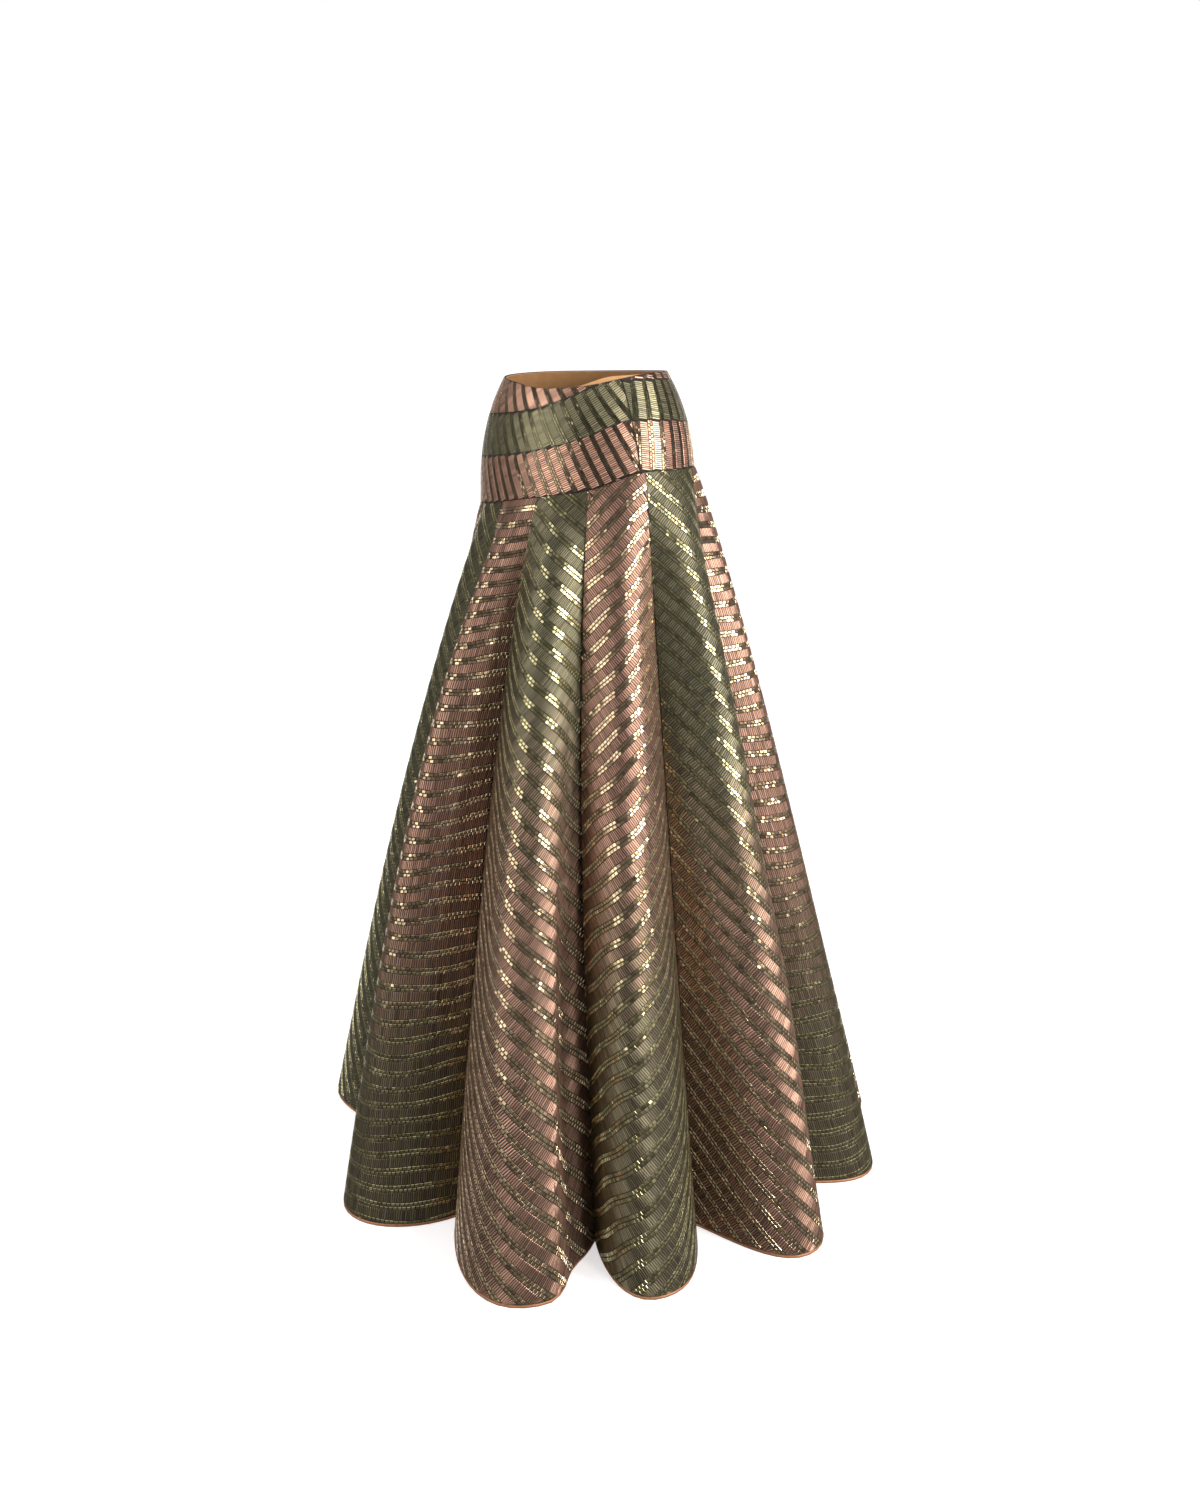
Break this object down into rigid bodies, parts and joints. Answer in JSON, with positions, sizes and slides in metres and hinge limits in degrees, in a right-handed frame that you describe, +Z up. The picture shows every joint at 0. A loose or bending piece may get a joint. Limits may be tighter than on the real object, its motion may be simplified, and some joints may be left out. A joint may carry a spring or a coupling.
{
  "type": "flared floor-length skirt",
  "caption": "Worn flared lehenga skirt: fitted yoke of slanting rose and green bands over alternating flared panels that fade to the other colour in deep cone folds, bound at the hem.",
  "frame": {"origin": "on the axis of the waist, at the level of the waist edge, where the wearer holds the skirt up", "axes": "+Z up the wearer's body, front towards -Y, wearer's left towards +X"},
  "size_m": [0.7697, 0.7356, 1.04],
  "materials": {
    "rose_cloth": "metallic satin strips and small mirror-like bricks in rows on rose net",
    "green_cloth": "metallic satin strips and small mirror-like bricks in rows on olive net",
    "facing_cloth": "matt orange-beige lining cloth",
    "binding_cloth": "copper-tan satin strip"
  },
  "bodies": {
    "root": {"panel_front": "rose_cloth", "panel_front_left": "green_cloth", "panel_left_front": "rose_cloth", "panel_left": "green_cloth", "panel_left_back": "rose_cloth", "panel_back_left": "green_cloth", "panel_back": "rose_cloth", "panel_back_right": "green_cloth", "panel_right_back": "rose_cloth", "panel_right": "green_cloth", "panel_right_front": "rose_cloth", "panel_front_right": "green_cloth", "yoke_front_top": "rose_cloth", "yoke_front_rose": "rose_cloth", "yoke_back_top": "rose_cloth", "yoke_back_rose": "rose_cloth", "yoke_front_green": "green_cloth", "yoke_back_green": "green_cloth", "waist_facing": "facing_cloth", "hem_binding": "binding_cloth"}
  },
  "joints": []
}
